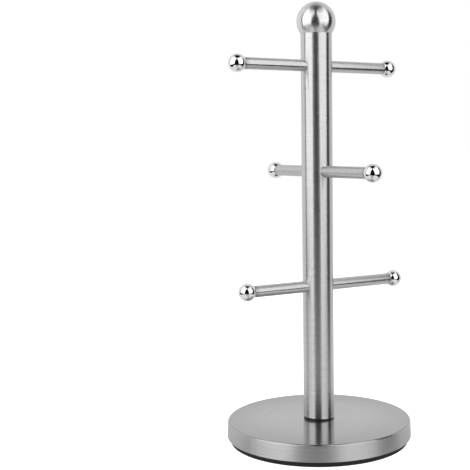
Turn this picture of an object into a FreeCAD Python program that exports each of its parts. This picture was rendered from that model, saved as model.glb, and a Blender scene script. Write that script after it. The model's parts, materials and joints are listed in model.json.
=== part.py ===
import FreeCAD, Part
import os
import sys
import Sketcher

# Mug tree: a weighted round base, an upright tube, three rods that pass through the
# tube one above another, each with a ball on both ends, and a larger ball on top.
#
# Frame: the origin is the centre of the underside, on the axis of the tube. +Z is up,
# the upper and lower rods lie along X and the middle rod lies along Y.

# Driving dimensions in millimetres: alias, value, meaning.
DIMENSIONS = (
    ("base_diameter", 150.0, "base shell at its lower edge"),
    ("base_top", 18.0, "height of the top face of the base"),
    ("shell_wall", 1.0, "sheet thickness of the base shell"),
    ("shell_draft", 0.4, "how much the shell narrows towards its top, on the radius"),
    ("shell_round", 1.8, "rounding of the shell's top edge"),
    ("press_gap", 0.05, "radial gap round the plate that is pressed into the shell"),
    ("pad_height", 4.5, "thickness of the non-slip pad"),
    ("pad_diameter", 145.0, "outside of the non-slip pad"),
    ("pad_bore", 34.0, "opening in the pad under the fixing screw"),
    ("pad_round", 0.8, "rounding of the pad's lower edge"),
    ("plate_thickness", 1.0, "steel plate that closes the shell"),
    ("plate_bore", 30.0, "opening in the plate under the fixing screw"),
    ("weight_diameter", 145.0, "cast disc inside the shell"),
    ("weight_round", 1.5, "rounding of the cast disc's edges"),
    ("weight_counterbore", 26.0, "recess for the washers and the screw's head"),
    ("weight_recess", 6.5, "depth of that recess"),
    ("screw_clearance", 9.0, "clearance holes for the fixing screw"),
    ("screw_diameter", 8.0, "nominal diameter of the fixing screw"),
    ("screw_length", 25.0, "fixing screw under its head"),
    ("screw_head", 14.0, "diameter of the fixing screw's head"),
    ("screw_head_height", 5.0, "height of the fixing screw's head"),
    ("screw_head_round", 1.0, "rounding of the head's rim"),
    ("screw_socket", 5.0, "hexagon socket across its flats"),
    ("screw_socket_depth", 3.0, "depth of that socket"),
    ("washer_diameter", 24.0, "flat washer"),
    ("washer_bore", 8.4, "hole in both washers"),
    ("washer_thickness", 1.6, "flat washer"),
    ("spring_washer_diameter", 14.8, "split spring washer"),
    ("spring_washer_thickness", 2.0, "split spring washer"),
    ("spring_washer_split", 1.2, "width of the split"),
    ("gasket_diameter", 24.6, "black washer between the tube and the base"),
    ("gasket_thickness", 0.9, "that washer"),
    ("pole_diameter", 25.0, "outside of the tube"),
    ("pole_wall", 1.0, "wall of the tube"),
    ("pole_top", 328.1, "height of the tube's upper end"),
    ("insert_length", 20.0, "threaded plug in the tube's lower end"),
    ("plug_length", 12.0, "threaded plug in the tube's upper end"),
    ("finial_diameter", 31.2, "ball on top of the tube"),
    ("finial_stud_diameter", 6.0, "stud between the upper plug and the top ball"),
    ("finial_stud_length", 22.0, "that stud"),
    ("finial_stud_reach", 11.0, "how far that stud enters the ball"),
    ("rod_diameter", 9.2, "the three rods"),
    ("arm_reach", 70.6, "middle of a rod to the centre of a ball on its end"),
    ("upper_height", 302.8, "axis of the upper rod"),
    ("middle_height", 219.3, "axis of the middle rod"),
    ("lower_height", 127.0, "axis of the lower rod"),
    ("upper_shift", -0.6, "how far the upper rod's middle lies towards its right end"),
    ("middle_shift", 5.0, "the same for the middle rod"),
    ("lower_shift", 5.3, "the same for the lower rod"),
    ("ball_diameter", 14.0, "balls on the rods"),
    ("ball_seat", 4.2, "centre of a ball to the flat that the rod's end meets"),
    ("stud_diameter", 4.0, "studs between the rods and their balls"),
    ("stud_in_ball", 5.5, "how far a stud enters its ball"),
    ("stud_in_rod", 8.0, "how far a stud enters its rod"),
    ("stud_socket", 2.0, "hexagon socket of a stud across its flats"),
    ("stud_socket_depth", 2.0, "depth of that socket"),
    ("drill_allowance", 0.5, "how much deeper a blind hole is than its stud"),
    ("thread_chamfer", 0.4, "chamfer on the ends of the screw and the studs"),
)

# Lengths that follow from the driving dimensions, as expressions on the sheet.
SHELL_RADIUS = "dims.base_diameter / 2"
SHELL_TOP_RADIUS = "dims.base_diameter / 2 - dims.shell_draft"
SHELL_INSIDE = "dims.base_diameter / 2 - dims.shell_wall"
SHELL_TOP_INSIDE = "dims.base_diameter / 2 - dims.shell_draft - dims.shell_wall"
SHELL_HEIGHT = "dims.base_top - dims.pad_height"
WEIGHT_BOTTOM = "dims.pad_height + dims.plate_thickness"
WEIGHT_HEIGHT = "dims.base_top - dims.shell_wall - dims.pad_height - dims.plate_thickness"
WASHER_BOTTOM = f"{WEIGHT_BOTTOM} + dims.weight_recess - dims.washer_thickness"
SPRING_WASHER_BOTTOM = f"{WASHER_BOTTOM} - dims.spring_washer_thickness"
POLE_RADIUS = "dims.pole_diameter / 2"
POLE_INSIDE = "dims.pole_diameter / 2 - dims.pole_wall"
POLE_BOTTOM = "dims.base_top + dims.gasket_thickness"
FINIAL_SEAT = "sqrt((dims.finial_diameter / 2)^2 - (dims.pole_diameter / 2)^2)"
ROD_LENGTH = "2 * (dims.arm_reach - dims.ball_seat)"
STUD_LENGTH = "dims.stud_in_ball + dims.stud_in_rod"

# Each tier has one rod. Its right end points along the given direction.
TIERS = (
    ("upper", FreeCAD.Vector(1, 0, 0)),
    ("middle", FreeCAD.Vector(0, -1, 0)),
    ("lower", FreeCAD.Vector(1, 0, 0)),
)
SIDES = (("right", 1), ("left", -1))

doc = FreeCAD.newDocument("mug_tree")
dims = doc.addObject("Spreadsheet::Sheet", "dims")
for row, (alias, value, meaning) in enumerate(DIMENSIONS, start=1):
    dims.set(f"A{row}", alias)
    dims.set(f"B{row}", str(value))
    dims.setAlias(f"B{row}", alias)
    dims.set(f"C{row}", meaning)
doc.recompute()


def millimetres(expression):
    return float(dims.evalExpression(expression))


def new_body(label, x="0", y="0", z="0", direction=FreeCAD.Vector(0, 0, 1)):
    """Start a sub-part whose own Z axis points along the given direction."""
    body = doc.addObject("PartDesign::Body", label)
    body.Label = label
    turn = FreeCAD.Rotation(FreeCAD.Vector(0, 0, 1), direction)
    body.Placement = FreeCAD.Placement(FreeCAD.Vector(0, 0, 0), turn)
    for axis, expression in (("x", x), ("y", y), ("z", z)):
        body.setExpression(f"Placement.Base.{axis}", expression)
    return body


def new_sketch(body, name, role="XY_Plane", offset="0"):
    """Add a sketch on one of the body's own origin planes, moved along its normal."""
    sketch = body.newObject("Sketcher::SketchObject", f"{body.Name}_{name}")
    plane = next(item for item in body.Origin.OriginFeatures if item.Role == role)
    sketch.AttachmentSupport = [(plane, "")]
    sketch.MapMode = "FlatFace"
    sketch.setExpression("AttachmentOffset.Base.z", offset)
    return sketch


def draw_circles(sketch, *diameters, across="0", up="0"):
    """Draw circles of the given diameters about one point of the sketch."""
    for diameter in diameters:
        centre = FreeCAD.Vector(millimetres(across), millimetres(up), 0)
        circle = Part.Circle(centre, FreeCAD.Vector(0, 0, 1), millimetres(diameter) / 2)
        index = sketch.addGeometry(circle, False)
        bind_point(sketch, index, 3, across, up)
        size = sketch.addConstraint(Sketcher.Constraint("Diameter", index, millimetres(diameter)))
        sketch.setExpression(f"Constraints[{size}]", diameter)


def bind_point(sketch, index, point, across, up):
    """Hold a point of the sketch at two distances from its origin."""
    for kind, distance in (("DistanceX", across), ("DistanceY", up)):
        constraint = Sketcher.Constraint(kind, -1, 1, index, point, millimetres(distance))
        number = sketch.addConstraint(constraint)
        sketch.setExpression(f"Constraints[{number}]", distance)


def draw_outline(sketch, corners):
    """Draw a closed outline of straight lines through corners given as expressions."""
    places = [FreeCAD.Vector(millimetres(x), millimetres(y), 0) for x, y in corners]
    count = len(corners)
    for index in range(count):
        line = Part.LineSegment(places[index], places[(index + 1) % count])
        sketch.addGeometry(line, False)
    for index, (across, up) in enumerate(corners):
        joint = Sketcher.Constraint("Coincident", index, 2, (index + 1) % count, 1)
        sketch.addConstraint(joint)
        bind_point(sketch, index, 1, across, up)


def draw_hexagon(sketch, across_flats):
    """Draw a regular hexagon about the sketch's origin."""
    corners = []
    for turn in range(30, 390, 60):
        reach = f"{across_flats} / sqrt(3)"
        corners.append((f"{reach} * cos({turn} deg)", f"{reach} * sin({turn} deg)"))
    draw_outline(sketch, corners)


def add_pad(body, sketch, length, midplane=False):
    pad = body.newObject("PartDesign::Pad", f"{sketch.Name}_pad")
    pad.Profile = sketch
    pad.Midplane = midplane
    pad.setExpression("Length", length)
    finish_feature(body, pad)


def add_pocket(body, sketch, length=None, towards=-1, midplane=False):
    """Cut a sketch through everything, or to a depth, towards -1 or +1 on its normal."""
    before = body.Shape.Volume
    pocket = body.newObject("PartDesign::Pocket", f"{sketch.Name}_pocket")
    pocket.Profile = sketch
    pocket.Midplane = midplane
    pocket.Reversed = towards > 0
    if length is None:
        pocket.Type = "ThroughAll"
    else:
        pocket.setExpression("Length", length)
    finish_feature(body, pocket)
    if not body.Shape.Volume < before:
        sys.exit(f"{pocket.Name} cuts nothing")


def add_revolution(body, sketch):
    revolution = body.newObject("PartDesign::Revolution", f"{sketch.Name}_revolution")
    revolution.Profile = sketch
    revolution.ReferenceAxis = (sketch, ["V_Axis"])
    revolution.Angle = 360
    finish_feature(body, revolution)


def add_ball(body, diameter):
    ball = body.newObject("PartDesign::AdditiveSphere", f"{body.Name}_ball")
    ball.setExpression("Radius", f"{diameter} / 2")
    finish_feature(body, ball)


def finish_feature(body, feature):
    body.Tip = feature
    doc.recompute()


def dress_rims(body, kind, size, rims):
    """Round or chamfer the circular edges with the given diameters and heights."""
    base = body.Tip
    names = []
    for diameter, height in rims:
        names += rim_names(base.Shape, millimetres(diameter) / 2, millimetres(height))
    dressing = body.newObject(f"PartDesign::{kind}", f"{body.Name}_{kind.lower()}")
    dressing.Base = (base, names)
    dressing.setExpression("Radius" if kind == "Fillet" else "Size", size)
    finish_feature(body, dressing)


def rim_names(shape, radius, height, tolerance=0.001):
    names = []
    for number, edge in enumerate(shape.Edges, start=1):
        if not isinstance(edge.Curve, Part.Circle):
            continue
        off = abs(edge.Curve.Radius - radius) + abs(edge.Curve.Center.z - height)
        if off < tolerance:
            names.append(f"Edge{number}")
    if not names:
        sys.exit(f"no rim of radius {radius} at {height}")
    return names


def add_disc(label, diameters, thickness, **place):
    """Make a flat disc or ring from one or two diameters."""
    body = new_body(label, **place)
    sketch = new_sketch(body, "outline")
    draw_circles(sketch, *diameters)
    add_pad(body, sketch, thickness)
    return body


def bore(body, name, diameter, offset="0", depth=None, towards=1):
    """Bore a round hole about the body's Z axis, from a height and in a direction."""
    sketch = new_sketch(body, name, offset=offset)
    draw_circles(sketch, diameter)
    add_pocket(body, sketch, depth, towards)


def cut_socket(body, across_flats, depth):
    """Cut a hexagon socket upwards into the body's lower end."""
    sketch = new_sketch(body, "socket")
    draw_hexagon(sketch, across_flats)
    add_pocket(body, sketch, depth, towards=1)


# Base, from the table upwards.


def make_base_pad():
    pad = add_disc("base_pad", ("dims.pad_diameter", "dims.pad_bore"), "dims.pad_height")
    dress_rims(pad, "Fillet", "dims.pad_round", [("dims.pad_diameter", "0")])


def make_bottom_plate():
    outside = f"2 * ({SHELL_INSIDE} - dims.press_gap)"
    add_disc("bottom_plate", (outside, "dims.plate_bore"), "dims.plate_thickness",
             z="dims.pad_height")


def make_base_weight():
    weight = add_disc("base_weight", ("dims.weight_diameter",), WEIGHT_HEIGHT,
                      z=WEIGHT_BOTTOM)
    bore(weight, "recess", "dims.weight_counterbore", depth="dims.weight_recess")
    bore(weight, "hole", "dims.screw_clearance")
    rims = [("dims.weight_diameter", "0"), ("dims.weight_diameter", WEIGHT_HEIGHT)]
    dress_rims(weight, "Fillet", "dims.weight_round", rims)


def make_base_shell():
    shell = new_body("base_shell", z="dims.pad_height")
    profile = new_sketch(shell, "profile", role="XZ_Plane")
    draw_outline(profile, (
        ("dims.screw_clearance / 2", SHELL_HEIGHT),
        (SHELL_TOP_RADIUS, SHELL_HEIGHT),
        (SHELL_RADIUS, "0"),
        (SHELL_INSIDE, "0"),
        (SHELL_TOP_INSIDE, f"{SHELL_HEIGHT} - dims.shell_wall"),
        ("dims.screw_clearance / 2", f"{SHELL_HEIGHT} - dims.shell_wall"),
    ))
    add_revolution(shell, profile)
    dress_rims(shell, "Fillet", "dims.shell_round", [(f"2 * ({SHELL_TOP_RADIUS})", SHELL_HEIGHT)])
    inside_rim = (f"2 * ({SHELL_TOP_INSIDE})", f"{SHELL_HEIGHT} - dims.shell_wall")
    dress_rims(shell, "Fillet", "dims.shell_round - dims.shell_wall", [inside_rim])


# Fixing of the tube to the base.


def make_flat_washer():
    add_disc("flat_washer", ("dims.washer_diameter", "dims.washer_bore"),
             "dims.washer_thickness", z=WASHER_BOTTOM)


def make_spring_washer():
    washer = add_disc("spring_washer", ("dims.spring_washer_diameter", "dims.washer_bore"),
                      "dims.spring_washer_thickness", z=SPRING_WASHER_BOTTOM)
    split = new_sketch(washer, "split")
    half = "dims.spring_washer_split / 2"
    reach = "dims.spring_washer_diameter"
    draw_outline(split, (("0", f"-{half}"), (reach, f"-{half}"), (reach, half), ("0", half)))
    add_pocket(washer, split, towards=1)


def make_fixing_screw():
    head_bottom = f"{SPRING_WASHER_BOTTOM} - dims.screw_head_height"
    screw = add_disc("fixing_screw", ("dims.screw_head",), "dims.screw_head_height",
                     z=head_bottom)
    shank = new_sketch(screw, "shank", offset="dims.screw_head_height")
    draw_circles(shank, "dims.screw_diameter")
    add_pad(screw, shank, "dims.screw_length")
    cut_socket(screw, "dims.screw_socket", "dims.screw_socket_depth")
    dress_rims(screw, "Fillet", "dims.screw_head_round", [("dims.screw_head", "0")])
    tip = "dims.screw_head_height + dims.screw_length"
    dress_rims(screw, "Chamfer", "dims.thread_chamfer", [("dims.screw_diameter", tip)])


def make_foot_gasket():
    add_disc("foot_gasket", ("dims.gasket_diameter", "dims.screw_clearance"),
             "dims.gasket_thickness", z="dims.base_top")


# Tube with its plugs and the top ball.


def make_pole_tube():
    tube = add_disc("pole_tube", ("dims.pole_diameter", f"2 * ({POLE_INSIDE})"),
                    f"dims.pole_top - ({POLE_BOTTOM})", z=POLE_BOTTOM)
    for tier, direction in TIERS:
        role = "YZ_Plane" if direction.x else "XZ_Plane"
        hole = new_sketch(tube, f"{tier}_hole", role=role)
        draw_circles(hole, "dims.rod_diameter", up=f"dims.{tier}_height - ({POLE_BOTTOM})")
        add_pocket(tube, hole, midplane=True)


def make_pole_insert():
    insert = add_disc("pole_insert", (f"2 * ({POLE_INSIDE})",), "dims.insert_length",
                      z=POLE_BOTTOM)
    bore(insert, "thread", "dims.screw_diameter")


def make_finial_plug():
    plug = add_disc("finial_plug", (f"2 * ({POLE_INSIDE})",), "dims.plug_length",
                    z="dims.pole_top - dims.plug_length")
    bore(plug, "thread", "dims.finial_stud_diameter")


def make_finial_stud():
    bottom = "dims.pole_top + dims.finial_stud_reach - dims.finial_stud_length"
    stud = add_disc("finial_stud", ("dims.finial_stud_diameter",),
                    "dims.finial_stud_length", z=bottom)
    rims = [("dims.finial_stud_diameter", "0"),
            ("dims.finial_stud_diameter", "dims.finial_stud_length")]
    dress_rims(stud, "Chamfer", "dims.thread_chamfer", rims)


def make_finial_ball():
    ball = new_body("finial_ball", z=f"dims.pole_top + {FINIAL_SEAT}")
    add_ball(ball, "dims.finial_diameter")
    seat = f"-{FINIAL_SEAT}"
    bore(ball, "seat", "dims.finial_diameter", offset=seat, towards=-1)
    bore(ball, "thread", "dims.finial_stud_diameter", offset=seat,
         depth="dims.finial_stud_reach + dims.drill_allowance")


# Rods, balls and studs.


def along_rod(tier, direction, distance):
    """Give the place that is a distance to the right of a rod's middle."""
    along = f"(dims.{tier}_shift + {distance})"
    return {
        "x": f"{direction.x} * {along}",
        "y": f"{direction.y} * {along}",
        "z": f"dims.{tier}_height",
    }


def make_rod(tier, direction):
    rod = new_body(f"rod_{tier}", **along_rod(tier, direction, "0"), direction=direction)
    outline = new_sketch(rod, "outline")
    draw_circles(outline, "dims.rod_diameter")
    add_pad(rod, outline, ROD_LENGTH, midplane=True)
    depth = "dims.stud_in_rod + dims.drill_allowance"
    for side, sign in SIDES:
        bore(rod, f"{side}_thread", "dims.stud_diameter", offset=f"{sign} * {ROD_LENGTH} / 2",
             depth=depth, towards=-sign)


def make_end_ball(tier, direction, side, sign):
    place = along_rod(tier, direction, f"{sign} * dims.arm_reach")
    ball = new_body(f"ball_{tier}_{side}", **place, direction=direction * sign)
    add_ball(ball, "dims.ball_diameter")
    bore(ball, "seat", "dims.rod_diameter", offset="-dims.ball_seat", towards=-1)
    bore(ball, "thread", "dims.stud_diameter", offset="-dims.ball_seat",
         depth="dims.stud_in_ball + dims.drill_allowance")


def make_ball_stud(tier, direction, side, sign):
    rod_end = f"{sign} * (dims.arm_reach - dims.ball_seat - dims.stud_in_rod)"
    place = along_rod(tier, direction, rod_end)
    stud = new_body(f"stud_{tier}_{side}", **place, direction=direction * sign)
    outline = new_sketch(stud, "outline")
    draw_circles(outline, "dims.stud_diameter")
    add_pad(stud, outline, STUD_LENGTH)
    cut_socket(stud, "dims.stud_socket", "dims.stud_socket_depth")
    dress_rims(stud, "Chamfer", "dims.thread_chamfer",
               [("dims.stud_diameter", "0"), ("dims.stud_diameter", STUD_LENGTH)])


def check_document():
    for item in doc.Objects:
        if "Invalid" in item.State or "Error" in item.State:
            sys.exit(f"{item.Label} did not recompute: {item.State}")
    for body in bodies():
        if body.Shape.isNull() or not body.Shape.isValid() or len(body.Shape.Solids) != 1:
            sys.exit(f"{body.Label} is not one valid solid")


def bodies():
    return [item for item in doc.Objects if item.TypeId == "PartDesign::Body"]


def write_parts():
    os.makedirs("parts", exist_ok=True)
    for body in bodies():
        body.Shape.exportStep(f"parts/{body.Label}.step")
        print(f"{body.Label:20s} {body.Shape.Volume:12.1f} mm3")


make_base_pad()
make_bottom_plate()
make_base_weight()
make_base_shell()
make_flat_washer()
make_spring_washer()
make_fixing_screw()
make_foot_gasket()
make_pole_tube()
make_pole_insert()
make_finial_plug()
make_finial_stud()
make_finial_ball()
for tier, direction in TIERS:
    make_rod(tier, direction)
    for side, sign in SIDES:
        make_end_ball(tier, direction, side, sign)
        make_ball_stud(tier, direction, side, sign)
doc.recompute()
check_document()
write_parts()
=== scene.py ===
"""Looks of the mug tree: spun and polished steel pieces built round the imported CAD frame."""
import json
import math
import bpy
from mathutils import Matrix, Vector


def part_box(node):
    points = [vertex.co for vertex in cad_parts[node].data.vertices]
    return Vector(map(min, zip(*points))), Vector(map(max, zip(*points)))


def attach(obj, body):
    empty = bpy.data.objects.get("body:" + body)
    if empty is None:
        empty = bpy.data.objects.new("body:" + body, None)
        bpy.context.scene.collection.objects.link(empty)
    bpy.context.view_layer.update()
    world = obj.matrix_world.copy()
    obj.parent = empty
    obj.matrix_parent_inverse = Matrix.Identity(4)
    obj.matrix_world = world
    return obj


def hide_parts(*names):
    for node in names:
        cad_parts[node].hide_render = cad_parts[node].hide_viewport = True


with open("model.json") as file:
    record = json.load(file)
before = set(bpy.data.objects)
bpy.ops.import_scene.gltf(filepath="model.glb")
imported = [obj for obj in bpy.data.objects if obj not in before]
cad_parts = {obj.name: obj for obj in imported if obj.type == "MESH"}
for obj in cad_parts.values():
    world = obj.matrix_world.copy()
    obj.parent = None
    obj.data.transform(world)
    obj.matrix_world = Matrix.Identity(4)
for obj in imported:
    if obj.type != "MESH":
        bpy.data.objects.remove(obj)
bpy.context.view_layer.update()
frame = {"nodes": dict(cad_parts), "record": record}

MM = 0.001
RODS = ("rod_upper", "rod_middle", "rod_lower")

# Fineness of the meshes: faces round the large and small pieces, and rings along their runs.
SEGMENTS = 192
SMALL_SEGMENTS = 96
RIM_STEPS = 6
SHELL_ROUND_STEPS = 16
SHELL_TOP_STEPS = 24
TUBE_STEPS = 60
BALL_STEPS = 64
FINIAL_STEPS = 96
ON_AXIS = 1e-9  # a ring smaller than this is one point

# Details that the boxes of the frame's nodes don't tell.
SHELL_DRAFT = 0.4 * MM
SHELL_ROUND = 1.8 * MM
SHELL_WALL = 1.0 * MM
POLE_WALL = 1.0 * MM
EDGE_BREAK = 0.25 * MM
PAD_BORE = 17 * MM
PAD_ROUND = 0.8 * MM
GASKET_ROUND = 0.3 * MM
BALL_SEAT = 4.2 * MM
SCREW_HOLE = 0.65  # radius of the screw's hole, as a share of its head's

# The tube's end isn't cut square: its mean rise over the CAD's, its tilt, and where it is highest.
FOOT_RISE = 0.15 * MM
FOOT_TILT = 0.9 * MM
FOOT_SIDE = math.radians(-168)

# How the cut tube's faces are told apart: a cosine, and a distance from a hole's axis.
NEARLY_ALONG = 0.97
HOLE_REACH = 10 * MM

# Camera: where it stands from the base's centre, and how it is turned.
CAMERA_AZIMUTH = math.radians(-32.8)
CAMERA_DISTANCE = 776.2 * MM
CAMERA_HEIGHT = 240.2 * MM
CAMERA_PITCH = math.radians(5.30)
CAMERA_YAW = math.radians(1.11)
CAMERA_ROLL = math.radians(-0.53)
CAMERA_LENS = 73.98
CAMERA_SENSOR = 36
CAMERA_SHIFT = -0.1362


# Profiles. A run is a list of (radius, height, normal radius, normal height), and a
# lathe joins runs end to end. The solid lies on the left of a run's direction.


def straight(r0, z0, r1, z1, steps=1):
    """A straight run between two points of a profile."""
    length = math.hypot(r1 - r0, z1 - z0)
    normal = ((z1 - z0) / length, (r0 - r1) / length)
    run = []
    for step in range(steps + 1):
        share = step / steps
        run.append((r0 + (r1 - r0) * share, z0 + (z1 - z0) * share, *normal))
    return run


def arc(centre_r, centre_z, radius, start, end, steps):
    """A round run from one angle to another, in degrees from the outward direction."""
    side = 1 if end > start else -1
    run = []
    for step in range(steps + 1):
        angle = math.radians(start + (end - start) * step / steps)
        out, up = math.cos(angle), math.sin(angle)
        radius_here = max(0.0, centre_r + radius * out)
        run.append((radius_here, centre_z + radius * up, side * out, side * up))
    return run


def outer_side(radius, low, high, edge, steps=1):
    """The runs up the outside of a cylinder, with both its rims rounded."""
    return [
        arc(radius - edge, low + edge, edge, -90, 0, RIM_STEPS),
        straight(radius, low + edge, radius, high - edge, steps),
        arc(radius - edge, high - edge, edge, 0, 90, RIM_STEPS),
    ]


def lathe(name, runs, segments=SEGMENTS, closed=False):
    """Spin runs about Z into an object with exact normals."""
    rings = [runs[0][0][:2]]
    strips = []
    for run in runs:
        first = len(rings) - 1
        for index, point in enumerate(run[1:]):
            rings.append(point[:2])
            strips.append((first + index, first + index + 1, run[index], point))
    if closed:
        rings.pop()
        low, _, before, after = strips[-1]
        strips[-1] = (low, 0, before, after)
    vertices, start, count = [], [], []
    for radius, height in rings:
        start.append(len(vertices))
        points = segments if radius > ON_AXIS else 1
        count.append(points)
        for step in range(points):
            angle = 2 * math.pi * step / segments
            vertices.append((radius * math.cos(angle), radius * math.sin(angle), height))
    faces, normals, uvs = [], [], []
    for low, high, before, after in strips:
        for step in range(segments):
            corners = [(low, step, before), (low, step + 1, before),
                       (high, step + 1, after), (high, step, after)]
            if count[low] == 1:
                corners = [corners[0], corners[2], corners[3]]
            elif count[high] == 1:
                corners = corners[:3]
            faces.append([start[ring] + turn % count[ring] for ring, turn, _ in corners])
            for ring, turn, point in corners:
                angle = 2 * math.pi * turn / segments
                normals.append((point[2] * math.cos(angle), point[2] * math.sin(angle), point[3]))
                uvs.append((turn / segments, ring / len(rings)))
    mesh = bpy.data.meshes.new(name)
    mesh.from_pydata(vertices, [], faces)
    layer = mesh.uv_layers.new(name="spin")
    for corner, uv in zip(layer.data, uvs):
        corner.uv = uv
    mesh.shade_smooth()
    mesh.normals_split_custom_set(normals)
    return add_object(name, mesh)


def add_object(name, data):
    """Put a mesh or a camera in the scene."""
    item = bpy.data.objects.new(name, data)
    bpy.context.scene.collection.objects.link(item)
    return item


def turned_cylinder(name, radius, low, high):
    """A small solid cylinder with rounded rims."""
    return lathe(name, [
        straight(0, low, radius - EDGE_BREAK, low),
        *outer_side(radius, low, high, EDGE_BREAK),
        straight(radius - EDGE_BREAK, high, 0, high),
    ], SMALL_SEGMENTS)


def flat_ring(name, inner, outer, low, high, edge, steps=1):
    """A ring or tube with rounded outer rims."""
    return lathe(name, [
        straight(inner, low, outer - edge, low),
        *outer_side(outer, low, high, edge, steps),
        straight(outer - edge, high, inner, high),
        straight(inner, high, inner, low, steps),
    ], closed=True)


# Pieces, each from the box of the CAD node that it stands for.


def node_radius(node):
    """The radius of a node that is round about Z."""
    low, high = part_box(node)
    return (high.x - low.x) / 2


def screw_hole():
    """The radius of the hole that the fixing screw passes through."""
    return node_radius("fixing_screw") * SCREW_HOLE


def stand_for(piece, node, material):
    """Give a piece its finish and put it in the place of a CAD node."""
    piece.data.materials.append(material)
    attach(piece, "root")
    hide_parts(node)
    return piece


def make_base_shell():
    """The drawn shell: a flat top, a rounded shoulder and a side that leans in a little."""
    low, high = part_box("base_shell")
    radius = node_radius("base_shell")
    bore = screw_hole()
    lean = math.atan(SHELL_DRAFT / (high.z - low.z))
    round_z = high.z - SHELL_ROUND
    side_z = round_z + SHELL_ROUND * math.sin(lean)
    side_r = radius - (side_z - low.z) * math.tan(lean)
    round_r = side_r - SHELL_ROUND * math.cos(lean)
    inside_r = round_r + SHELL_ROUND - SHELL_WALL
    under_z = high.z - SHELL_WALL
    return lathe("shell_skin", [
        straight(radius, low.z, side_r, side_z),
        arc(round_r, round_z, SHELL_ROUND, math.degrees(lean), 90, SHELL_ROUND_STEPS),
        straight(round_r, high.z, bore, high.z, SHELL_TOP_STEPS),
        straight(bore, high.z, bore, under_z),
        straight(bore, under_z, inside_r, under_z),
        straight(inside_r, under_z, radius - SHELL_WALL, low.z),
        straight(radius - SHELL_WALL, low.z, radius, low.z),
    ], closed=True)


def make_pad():
    """The non-slip ring that the base stands on, at the middle of its node's box."""
    low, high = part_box("base_pad")
    piece = flat_ring("pad_ring", PAD_BORE, node_radius("base_pad"), low.z, high.z, PAD_ROUND)
    centre = (low + high) / 2
    piece.location = (centre.x, centre.y, 0)
    return piece


def foot_lift(point):
    """How much higher than drawn the tube's end is at a point, since it isn't cut quite square."""
    thick = Vector((math.cos(FOOT_SIDE), math.sin(FOOT_SIDE), 0))
    return FOOT_RISE + FOOT_TILT * Vector((point.x, point.y, 0)).normalized().dot(thick)


def make_gasket():
    """The washer under the tube's foot, whose top follows the tube's end."""
    low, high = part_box("foot_gasket")
    gasket = flat_ring("gasket_ring", screw_hole(), node_radius("foot_gasket"), low.z, high.z, GASKET_ROUND)
    for vertex in gasket.data.vertices:
        if vertex.co.z > (low.z + high.z) / 2:
            vertex.co.z += foot_lift(vertex.co)
    return gasket


def make_pole():
    """The tube, with the rods' holes cut through it."""
    low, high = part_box("pole_tube")
    outer = node_radius("pole_tube")
    pole = flat_ring("pole_skin", outer - POLE_WALL, outer, low.z, high.z, EDGE_BREAK, TUBE_STEPS)
    for vertex in pole.data.vertices:
        if vertex.co.z < low.z + 2 * EDGE_BREAK:
            vertex.co.z += foot_lift(vertex.co)
    cutters = []
    holes = []
    for rod in RODS:
        axis, centre, _, radius = rod_shape(rod)
        cutter = turned_cylinder(f"cutter_{rod}", radius, -2 * outer, 2 * outer)
        cutter.matrix_world = Matrix.Translation(Vector((0, 0, centre.z))) @ turn_to(axis)
        cut = pole.modifiers.new(cutter.name, "BOOLEAN")
        cut.operation = "DIFFERENCE"
        cut.solver = "EXACT"
        cut.object = cutter
        cutters.append(cutter)
        holes.append((centre.z, axis))
    bpy.context.view_layer.update()
    evaluated = pole.evaluated_get(bpy.context.evaluated_depsgraph_get())
    cut_mesh = bpy.data.meshes.new_from_object(evaluated)
    pole.modifiers.clear()
    pole.data = cut_mesh
    for cutter in cutters:
        bpy.data.objects.remove(cutter)
    set_pole_normals(cut_mesh, holes)
    return pole


def set_pole_normals(mesh, holes):
    """Give each corner of the cut tube the normal of the true surface that it lies on."""
    mesh.shade_smooth()
    normals = []
    for face in mesh.polygons:
        middle = face.center
        radial = Vector((middle.x, middle.y, 0)).normalized()
        along = face.normal.dot(radial)
        at_end = abs(face.normal.z) > NEARLY_ALONG and not near_hole(middle.z, holes)
        for loop in face.loop_indices:
            place = mesh.vertices[mesh.loops[loop].vertex_index].co
            if abs(along) > NEARLY_ALONG:
                out = Vector((place.x, place.y, 0)).normalized()
                normals.append(out * math.copysign(1, along))
            elif at_end:
                normals.append(Vector((0, 0, math.copysign(1, face.normal.z))))
            else:
                normals.append(hole_normal(place, face, holes))
    mesh.normals_split_custom_set([tuple(normal.normalized()) for normal in normals])


def nearest_hole(height, holes):
    """The hole, as (height, axis), that is nearest to a height."""
    return min(holes, key=lambda hole: abs(hole[0] - height))


def near_hole(height, holes):
    """Whether a height is one where a hole's wall can be."""
    return abs(height - nearest_hole(height, holes)[0]) <= HOLE_REACH


def hole_normal(place, face, holes):
    """The normal of a hole's wall at a place, or the face's own where there is no hole."""
    if not near_hole(face.center.z, holes):
        return face.normal.copy()
    height, axis = nearest_hole(face.center.z, holes)
    offset = place - Vector((0, 0, height))
    return -(offset - axis * offset.dot(axis))


def rod_shape(rod):
    """Direction to the rod's right end, middle, half length and radius."""
    low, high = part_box(rod)
    size = high - low
    along_x = size.x > size.y
    axis = Vector((1, 0, 0)) if along_x else Vector((0, -1, 0))
    return axis, (low + high) / 2, max(size.x, size.y) / 2, size.z / 2


def turn_to(axis):
    """The turn that takes Z to an axis."""
    return Vector((0, 0, 1)).rotation_difference(axis).to_matrix().to_4x4()


def make_rod(rod):
    """A rod that carries a ball at each end."""
    axis, centre, half, radius = rod_shape(rod)
    piece = turned_cylinder(f"{rod}_skin", radius, -half, half)
    piece.matrix_world = Matrix.Translation(centre) @ turn_to(axis)
    return piece


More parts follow.
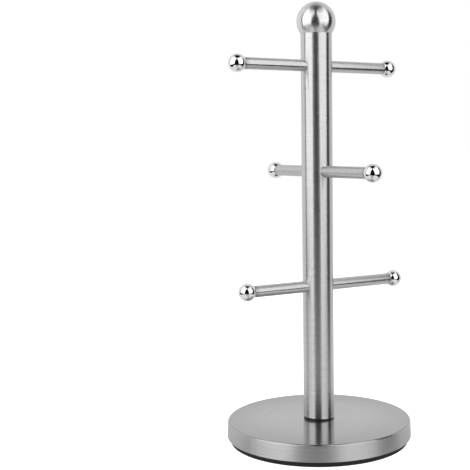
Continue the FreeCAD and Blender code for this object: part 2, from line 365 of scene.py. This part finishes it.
def make_end_ball(rod, side, sign):
    """The ball on one end of a rod, with a flat seat against it, and the node it stands for."""
    axis, centre, half, rod_radius = rod_shape(rod)
    node = rod.replace("rod", "ball") + f"_{side}"
    low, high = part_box(node)
    radius = (high.z - low.z) / 2
    neck = math.degrees(math.asin(rod_radius / radius))
    neck_z = radius * math.cos(math.radians(neck))
    ball = lathe(f"{node}_skin", [
        straight(0, -BALL_SEAT, rod_radius, -BALL_SEAT),
        straight(rod_radius, -BALL_SEAT, rod_radius, -neck_z),
        arc(0, 0, radius, -90 + neck, 90, BALL_STEPS),
    ], SMALL_SEGMENTS)
    place = centre + axis * sign * (half + BALL_SEAT)
    ball.matrix_world = Matrix.Translation(place) @ turn_to(axis * sign)
    return ball, node


def make_finial():
    """The ball on top of the tube, cut flat where it sits on the tube's end."""
    low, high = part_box("finial_ball")
    radius = node_radius("finial_ball")
    centre_z = high.z - radius
    pole_radius = node_radius("pole_tube")
    neck = math.degrees(math.asin(pole_radius / radius))
    return lathe("finial_skin", [
        straight(0, low.z, pole_radius, low.z),
        arc(0, centre_z, radius, -90 + neck, 90, FINIAL_STEPS),
    ])


# Materials.

# Noise hardly leaves this range, so it is stretched to fill a range of its own.
NOISE_LOW = 0.3
NOISE_HIGH = 0.7

# Spun steel: the size of its patches and streaks in line spacings, the share by which
# lines and streaks change its tone, and how deep the lines are.
PATCH_SPACINGS = 60
STREAK_SPACINGS = 4
LINE_SHADE = 0.03
STREAK_SHADE = 0.05
LINE_DEPTH = 0.02 * MM
ACROSS_LINES = 0.25  # of a turn, from along the lines

# Grainy surfaces: how much the grain changes tone and roughness.
GRAIN_SHADE = 0.2
GRAIN_ROUGH = 0.06


def new_material(name, color, metallic, roughness, specular=0.5):
    """A material with its uniform values set on the shader."""
    material = bpy.data.materials.new(name)
    material.use_nodes = True
    shader = material.node_tree.nodes["Principled BSDF"]
    shader.inputs["Base Color"].default_value = (*color, 1)
    shader.inputs["Metallic"].default_value = metallic
    shader.inputs["Roughness"].default_value = roughness
    shader.inputs["Specular IOR Level"].default_value = specular
    return material, material.node_tree, shader


def feed(tree, socket, value):
    """Link a socket to another one, or give it a value."""
    if isinstance(value, bpy.types.NodeSocket):
        tree.links.new(value, socket)
    else:
        socket.default_value = value


def add_node(tree, kind, **inputs):
    """Add a node and feed its inputs, named with _ for a space."""
    node = tree.nodes.new(kind)
    for name, value in inputs.items():
        feed(tree, node.inputs[name.replace("_", " ")], value)
    return node


def maths(tree, operation, *values):
    """The result of a sum on sockets or numbers."""
    node = tree.nodes.new("ShaderNodeMath")
    node.operation = operation
    for socket, value in zip(node.inputs, values):
        feed(tree, socket, value)
    return node.outputs[0]


def map_range(tree, value, start, end, low, high, kind="LINEAR"):
    """A value's way from start to end, turned into one from low to high."""
    node = add_node(tree, "ShaderNodeMapRange", Value=value,
                    From_Min=start, From_Max=end, To_Min=low, To_Max=high)
    node.interpolation_type = kind
    return node.outputs[0]


def between(tree, noise, low, high):
    """A noise stretched to run from low to high."""
    return map_range(tree, noise, NOISE_LOW, NOISE_HIGH, low, high)


def raise_surface(tree, shader, height, strength, depth):
    """Let a height from 0 to 1 lift the surface by up to a depth."""
    bump = add_node(tree, "ShaderNodeBump", Height=height, Strength=strength, Distance=depth)
    tree.links.new(bump.outputs["Normal"], shader.inputs["Normal"])


def spin_coordinates(tree):
    """Distance from the piece's own Z axis, height and turn, so lines run round the axis."""
    place = tree.nodes.new("ShaderNodeTexCoord")
    split = add_node(tree, "ShaderNodeSeparateXYZ", Vector=place.outputs["Object"])
    across = maths(tree, "POWER", split.outputs["X"], 2.0)
    deep = maths(tree, "POWER", split.outputs["Y"], 2.0)
    radius = maths(tree, "SQRT", maths(tree, "ADD", across, deep))
    turn = maths(tree, "ARCTAN2", split.outputs["Y"], split.outputs["X"])
    return radius, split.outputs["Z"], turn


def grain(tree, spin, spacing, reach):
    """Noise in fine lines round the axis, each changing along its length by a reach."""
    radius, height, turn = spin
    vector = add_node(
        tree, "ShaderNodeCombineXYZ",
        X=maths(tree, "MULTIPLY", radius, 1 / spacing),
        Y=maths(tree, "MULTIPLY", height, 1 / spacing),
        Z=maths(tree, "MULTIPLY", maths(tree, "COSINE", turn), reach),
    )
    noise = add_node(tree, "ShaderNodeTexNoise", Vector=vector.outputs[0],
                     Scale=1.0, Detail=3.0, Roughness=0.6)
    return noise.outputs["Fac"]


def spun_steel(name, tone, roughness, spread, anisotropic, bump, spacing, metallic=1.0, painted_shade=None):
    """Steel polished on a spindle: fine lines round the axis, blurred across them.

    A painted shade darkens it along its "height" or "radius", from a start to an end, to a share of its tone:
    shade painted into the colour, not a change in the steel.
    """
    material, tree, shader = new_material(name, (tone, tone, tone), metallic, roughness)
    spin = spin_coordinates(tree)
    radius, height, _ = spin
    lines = grain(tree, spin, spacing, reach=2.0)
    patches = grain(tree, spin, spacing * PATCH_SPACINGS, reach=1.5)
    streaks = grain(tree, spin, spacing * STREAK_SPACINGS, reach=1.0)
    rough = maths(tree, "ADD", between(tree, lines, -spread, spread),
                  between(tree, patches, roughness - spread, roughness + spread))
    tree.links.new(rough, shader.inputs["Roughness"])
    shade = maths(tree, "ADD", between(tree, lines, -LINE_SHADE * tone, LINE_SHADE * tone),
                  between(tree, streaks, (1 - STREAK_SHADE) * tone, (1 + STREAK_SHADE) * tone))
    # Painted shade: the tone is darkened from the start to the end, down to the given share.
    if painted_shade:
        along, start, end, share = painted_shade
        reach = radius if along == "radius" else maths(tree, "ABSOLUTE", height)
        painted_shade_share = map_range(tree, reach, start, end, 1.0, share, "SMOOTHSTEP")
        shade = maths(tree, "MULTIPLY", shade, painted_shade_share)
    color = add_node(tree, "ShaderNodeCombineColor", Red=shade, Green=shade, Blue=shade)
    tree.links.new(color.outputs[0], shader.inputs["Base Color"])
    raise_surface(tree, shader, lines, bump, LINE_DEPTH)
    if anisotropic:
        tangent = tree.nodes.new("ShaderNodeTangent")
        tangent.direction_type = "RADIAL"
        tangent.axis = "Z"
        tree.links.new(tangent.outputs[0], shader.inputs["Tangent"])
        shader.inputs["Anisotropic"].default_value = anisotropic
        shader.inputs["Anisotropic Rotation"].default_value = ACROSS_LINES
    return material


def grainy(name, color, metallic, roughness, size, bump, depth):
    """A cast, moulded or plated surface: fine grain in its colour, gloss and height."""
    material, tree, shader = new_material(name, color, metallic, roughness)
    place = tree.nodes.new("ShaderNodeTexCoord")
    texture = add_node(tree, "ShaderNodeTexNoise", Vector=place.outputs["Object"], Scale=1 / size, Detail=4.0)
    noise = texture.outputs["Fac"]
    mix = tree.nodes.new("ShaderNodeMix")
    mix.data_type = "RGBA"
    tree.links.new(between(tree, noise, 0, 1), mix.inputs["Factor"])
    mix.inputs["A"].default_value = (*[part * (1 - GRAIN_SHADE) for part in color], 1)
    mix.inputs["B"].default_value = (*[part * (1 + GRAIN_SHADE) for part in color], 1)
    tree.links.new(mix.outputs["Result"], shader.inputs["Base Color"])
    tree.links.new(between(tree, noise, roughness - GRAIN_ROUGH, roughness + GRAIN_ROUGH),
                   shader.inputs["Roughness"])
    raise_surface(tree, shader, noise, bump, depth)
    return material


rod_half = rod_shape("rod_upper")[2]
# The shell's top is darkened from 35 mm out towards its rim, to 84 % of its tone: painted shade.
shell_steel = spun_steel("shell_steel", tone=0.53, roughness=0.19, spread=0.02, anisotropic=0.82,
                         bump=0.04, spacing=0.3 * MM, painted_shade=("radius", 35 * MM, 74 * MM, 0.84))
side_steel = spun_steel("side_steel", tone=0.70, roughness=0.50, spread=0.04, anisotropic=0.92,
                        bump=0.10, spacing=0.3 * MM)
# The tube is darkened from 52 mm down towards its foot, to 86 % of its tone: painted shade where it meets the
# base.
pole_steel = spun_steel("pole_steel", tone=0.66, roughness=0.285, spread=0.012, anisotropic=0.92,
                        bump=0.02, spacing=0.25 * MM, metallic=0.95, painted_shade=("height", 52 * MM, 20 * MM, 0.86))
# Each rod is darkened over its last few millimetres at both ends, next to the balls, to 72 % of its tone:
# painted shade.
rod_steel = spun_steel("rod_steel", tone=0.61, roughness=0.24, spread=0.015, anisotropic=0.85,
                       bump=0.03, spacing=0.2 * MM, metallic=0.95,
                       painted_shade=("height", rod_half - 5.5 * MM, rod_half - 1.5 * MM, 0.72))
finial_steel = spun_steel("finial_steel", tone=0.76, roughness=0.23, spread=0.02, anisotropic=0.92,
                          bump=0.05, spacing=0.2 * MM, metallic=0.95)
ball_chrome = spun_steel("ball_chrome", tone=0.90, roughness=0.03, spread=0.008, anisotropic=0.0,
                         bump=0.02, spacing=0.4 * MM)
pad_foam = grainy("pad_foam", (0.018, 0.018, 0.018), metallic=0, roughness=0.75,
                  size=0.6 * MM, bump=0.4, depth=0.1 * MM)
gasket_black = grainy("gasket_black", (0.01, 0.01, 0.01), metallic=0, roughness=0.35,
                      size=0.5 * MM, bump=0.1, depth=0.02 * MM)
cast_iron = grainy("cast_iron", (0.06, 0.06, 0.062), metallic=0.6, roughness=0.65,
                   size=1.2 * MM, bump=0.6, depth=0.3 * MM)
plate_paint = grainy("plate_paint", (0.30, 0.30, 0.31), metallic=0, roughness=0.5,
                     size=1.0 * MM, bump=0.2, depth=0.05 * MM)
zinc_plate = grainy("zinc_plate", (0.62, 0.62, 0.60), metallic=1.0, roughness=0.32,
                    size=0.8 * MM, bump=0.15, depth=0.02 * MM)
turned_steel = grainy("turned_steel", (0.50, 0.50, 0.50), metallic=1.0, roughness=0.35,
                      size=0.8 * MM, bump=0.15, depth=0.02 * MM)

shell = stand_for(make_base_shell(), "base_shell", shell_steel)
shell.data.materials.append(side_steel)
for face in shell.data.polygons:
    faces_sideways = abs(face.normal.z) < 0.5
    if faces_sideways:
        face.material_index = 1
stand_for(make_pad(), "base_pad", pad_foam)
stand_for(make_gasket(), "foot_gasket", gasket_black)
stand_for(make_pole(), "pole_tube", pole_steel)
stand_for(make_finial(), "finial_ball", finial_steel)
for rod in RODS:
    stand_for(make_rod(rod), rod, rod_steel)
    for side, sign in (("right", 1), ("left", -1)):
        ball, node = make_end_ball(rod, side, sign)
        stand_for(ball, node, ball_chrome)

# The inner pieces keep their CAD meshes.
CAD_FINISHES = {
    "weight_iron": cast_iron,
    "plate_steel": plate_paint,
    "zinc_steel": zinc_plate,
    "turned_steel": turned_steel,
}
for subpart in frame["record"]["subparts"]:
    finish = CAD_FINISHES.get(subpart["material_slot"])
    if finish:
        carried = frame["nodes"][subpart["node"]]
        carried.data.materials.clear()
        carried.data.materials.append(finish)


# Studio. A light tent stands round the table, and its front is open in a slit that widens
# downwards. The object reflects its sheets, and the camera sees none of them.
# Places are (right, front, up) from the table's centre, with front towards the camera.

SIDE = 0.50
FRONT = 0.62
BACK = 0.50
TOP = 1.08
SEAM = 0.33  # where the tent's skirt ends and its upper part begins
SKIRT_SPREAD = 0.5  # how much farther out than its top the skirt's hem stands, as a share
TABLE_REACH = SIDE * (1 + SKIRT_SPREAD)
TABLE_LEVEL = -0.2 * MM
FLOOR_LEVEL = -0.1 * MM
FLOOR_REACH = 20
NEAR_LEVEL = -0.1 * MM  # just over the table's other sheets
NEAR_RADIUS = 0.125
NEAR_CORNERS = 36
ROOM_GLOW = 0.006  # what the object reflects where no sheet is


def seen_by(piece, camera=False, diffuse=False, glossy=False, shadow=False):
    """Choose the rays that meet a piece of the studio."""
    piece.visible_camera = camera
    piece.visible_diffuse = diffuse
    piece.visible_glossy = glossy
    piece.visible_transmission = False
    piece.visible_shadow = shadow


def studio_place(right, front, up):
    """A studio place in the frame's coordinates."""
    turn = CAMERA_AZIMUTH
    return Vector((math.cos(turn) * right + math.sin(turn) * front,
                   math.sin(turn) * right - math.cos(turn) * front, up))


def front_wall(*points):
    """Places of (right, up) points on the tent's front."""
    return [(right, FRONT, up) for right, up in points]


def side_wall(right, *points):
    """Places of (front, up) points on one of the tent's sides."""
    return [(right, front, up) for front, up in points]


def back_wall(low, high):
    """The tent's whole back between two heights."""
    return [(-SIDE, -BACK, low), (SIDE, -BACK, low), (SIDE, -BACK, high), (-SIDE, -BACK, high)]


def level(up, *points):
    """Places of (right, front) points at one height."""
    return [(right, front, up) for right, front in points]


def flared(places):
    """The tent's skirt: below its top it runs outwards, so its hem stands farther from the object."""
    outline = []
    for right, front, up in places:
        spread = 1 + SKIRT_SPREAD * (SEAM - up) / SEAM
        outline.append((right * spread, front * spread, up))
    return outline


def near_shade_disc():
    """The round, dimmer sheet on the table under and round the base: painted shadow of the base on the table.
    """
    corners = []
    for step in range(NEAR_CORNERS):
        turn = 2 * math.pi * step / NEAR_CORNERS
        corners.append((NEAR_RADIUS * math.cos(turn), NEAR_RADIUS * math.sin(turn)))
    return level(NEAR_LEVEL, *corners)


def glow_material(name, radiance):
    """A material that gives off light and reflects none."""
    material = bpy.data.materials.new(name)
    material.use_nodes = True
    tree = material.node_tree
    tree.nodes.clear()
    glow = add_node(tree, "ShaderNodeEmission", Strength=radiance)
    add_node(tree, "ShaderNodeOutputMaterial", Surface=glow.outputs[0])
    return material


def flat_piece(name, corners):
    """A flat piece of the studio."""
    mesh = bpy.data.meshes.new(name)
    mesh.from_pydata(corners, [], [tuple(range(len(corners)))])
    piece = add_object(name, mesh)
    return piece


def sheet(name, radiance, places):
    """A sheet of lit cloth that the object reflects and the camera doesn't see."""
    cloth = flat_piece(name, [studio_place(*place) for place in places])
    cloth.data.materials.append(glow_material(f"{name}_glow", radiance))
    seen_by(cloth, diffuse=True, glossy=True)


# Each sheet's name, radiance and outline. The gaps between a side's near and far sheets
# make the dark lines at the edges of the tube and the balls.
SKIRT = (
    ("front_left_low", 1.75, front_wall((-SIDE, 0), (-0.40, 0), (-0.335, SEAM), (-SIDE, SEAM))),
    ("front_right_low", 1.55, front_wall((SIDE, 0), (0.295, 0), (0.213, SEAM), (SIDE, SEAM))),
    ("left_near_low", 1.55, side_wall(
        -SIDE, (FRONT, 0), (0.50, 0), (0.29, 0.045), (0.18, 0.09), (0.12, 0.11), (0.025, 0.12),
        (0.025, SEAM), (FRONT, SEAM))),
    ("left_far_low", 0.80, side_wall(
        -SIDE, (-0.045, 0.12), (-0.10, 0.09), (-0.14, 0.02), (-BACK, 0), (-BACK, SEAM), (-0.045, SEAM))),
    ("right_near_low", 1.40, side_wall(
        SIDE, (FRONT, 0), (0.45, 0.02), (0.32, 0.05), (0.23, 0.09), (0.15, 0.18),
        (0.11, SEAM), (FRONT, SEAM))),
    ("right_far_low", 0.66, side_wall(
        SIDE, (-0.15, 0), (-0.13, 0.15), (-0.12, SEAM), (-BACK, SEAM), (-BACK, 0))),
    ("back_low", 0.78, back_wall(0, SEAM)),
)
UPPER_PART = (
    ("front_left_high", 1.35, front_wall(
        (-SIDE, SEAM), (-0.335, SEAM), (-0.30, 0.46), (-0.24, 0.64), (-0.145, 0.80), (-0.07, 0.93),
        (-0.10, TOP), (-SIDE, TOP))),
    ("front_right_high", 1.27, front_wall(
        (SIDE, SEAM), (0.213, SEAM), (0.172, 0.46), (0.12, 0.64), (0.055, 0.80), (0.01, 0.93),
        (0.06, TOP), (SIDE, TOP))),
    ("left_near_high", 1.55, side_wall(-SIDE, (FRONT, SEAM), (0.025, SEAM), (0.025, TOP), (FRONT, TOP))),
    ("left_far_high", 0.87, side_wall(-SIDE, (-0.045, SEAM), (-BACK, SEAM), (-BACK, TOP), (-0.045, TOP))),
    ("right_near_high", 1.35, side_wall(
        SIDE, (FRONT, SEAM), (0.11, SEAM), (0.07, 0.55), (0.0, 0.82), (0.0, TOP), (FRONT, TOP))),
    ("right_far_high", 0.66, side_wall(
        SIDE, (-0.12, SEAM), (-0.16, 0.6), (-0.08, 0.82), (0.0, TOP), (-BACK, TOP), (-BACK, SEAM))),
    ("back_high", 0.78, back_wall(SEAM, TOP)),
    ("roof_back", 0.58, level(TOP, (-SIDE, -0.13), (SIDE, -0.13), (SIDE, -BACK), (-SIDE, -BACK))),
    ("roof_left", 0.77, level(
        TOP, (-SIDE, -0.13), (-0.38, -0.13), (-0.32, 0.15), (-0.19, 0.38), (-0.085, 0.54),
        (-0.10, FRONT), (-SIDE, FRONT))),
    ("roof_right", 0.77, level(
        TOP, (SIDE, -0.13), (0.36, -0.13), (0.31, 0.15), (0.18, 0.38), (0.05, 0.56),
        (0.06, FRONT), (SIDE, FRONT))),
)
TABLE = (
    ("table", 0.76, level(
        TABLE_LEVEL, (-TABLE_REACH, -TABLE_REACH), (TABLE_REACH, -TABLE_REACH), (TABLE_REACH, -0.13),
        (0.36, -0.05), (0.20, -0.03), (0.20, 0.04), (0.35, 0.07), (0.35, 0.30), (0.37, 0.44), (0.30, 0.50),
        (0.10, 0.50), (0.025, 0.11), (-0.035, 0.11), (-0.18, 0.50), (-0.30, 0.50), (-0.37, 0.47),
        (-0.39, 0.28), (-0.40, 0.02), (-TABLE_REACH, -0.12))),
    # A dimmer strip on the table in front of the object, towards the camera: painted shadow.
    ("table_shade_front", 0.45, level(TABLE_LEVEL, (-0.035, 0.11), (0.025, 0.11), (0.10, 0.49), (-0.176, 0.49))),
    ("table_right", 0.37, level(TABLE_LEVEL, (0.20, -0.03), (0.36, -0.05), (0.36, 0.07), (0.20, 0.04))),
    # A dimmer disc round the base: painted shadow on the table.
    ("table_shade_near", 0.52, near_shade_disc()),
)


def make_tent():
    """The tent's flared skirt, its upright upper part and the sheets on its table."""
    for name, radiance, places in SKIRT:
        sheet(name, radiance, flared(places))
    for name, radiance, places in UPPER_PART + TABLE:
        sheet(name, radiance, places)


def make_floor():
    """A pale floor for the camera, brightest away from the object."""
    corners = level(FLOOR_LEVEL, (-FLOOR_REACH, -FLOOR_REACH), (FLOOR_REACH, -FLOOR_REACH),
                    (FLOOR_REACH, FLOOR_REACH), (-FLOOR_REACH, FLOOR_REACH))
    floor = flat_piece("floor", corners)
    material, tree, shader = new_material("floor_white", (0.85, 0.85, 0.85),
                                          metallic=0, roughness=0.9, specular=0)
    place = tree.nodes.new("ShaderNodeTexCoord")
    reach = tree.nodes.new("ShaderNodeVectorMath")
    reach.operation = "LENGTH"
    tree.links.new(place.outputs["Object"], reach.inputs[0])
    glow = map_range(tree, reach.outputs["Value"], start=0.10, end=0.30, low=0.70, high=1.02)
    shader.inputs["Emission Color"].default_value = (1, 1, 1, 1)
    tree.links.new(glow, shader.inputs["Emission Strength"])
    floor.data.materials.append(material)
    seen_by(floor, camera=True, shadow=True)


def make_world():
    """White for the camera, and nearly dark for what the object reflects."""
    world = bpy.data.worlds.new("studio")
    world.use_nodes = True
    tree = world.node_tree
    background = tree.nodes["Background"]
    path = tree.nodes.new("ShaderNodeLightPath")
    strength = maths(tree, "ADD", path.outputs["Is Camera Ray"], ROOM_GLOW)
    background.inputs["Color"].default_value = (1, 1, 1, 1)
    tree.links.new(strength, background.inputs["Strength"])
    bpy.context.scene.world = world


def make_camera():
    """The camera, turned to the axis and then yawed, pitched and rolled."""
    data = bpy.data.cameras.new("camera")
    data.sensor_width = CAMERA_SENSOR
    data.lens = CAMERA_LENS
    data.shift_x = CAMERA_SHIFT
    data.clip_start = 10 * MM
    camera = add_object("camera", data)
    place = Vector((math.sin(CAMERA_AZIMUTH), -math.cos(CAMERA_AZIMUTH), 0)) * CAMERA_DISTANCE
    place.z = CAMERA_HEIGHT
    camera.matrix_world = (
        Matrix.Translation(place)
        @ Matrix.Rotation(CAMERA_AZIMUTH + CAMERA_YAW, 4, "Z")
        @ Matrix.Rotation(math.pi / 2 - CAMERA_PITCH, 4, "X")
        @ Matrix.Rotation(CAMERA_ROLL, 4, "Z")
    )
    bpy.context.scene.camera = camera


make_tent()
make_floor()
make_world()
make_camera()
bpy.context.scene.view_settings.view_transform = "Standard"
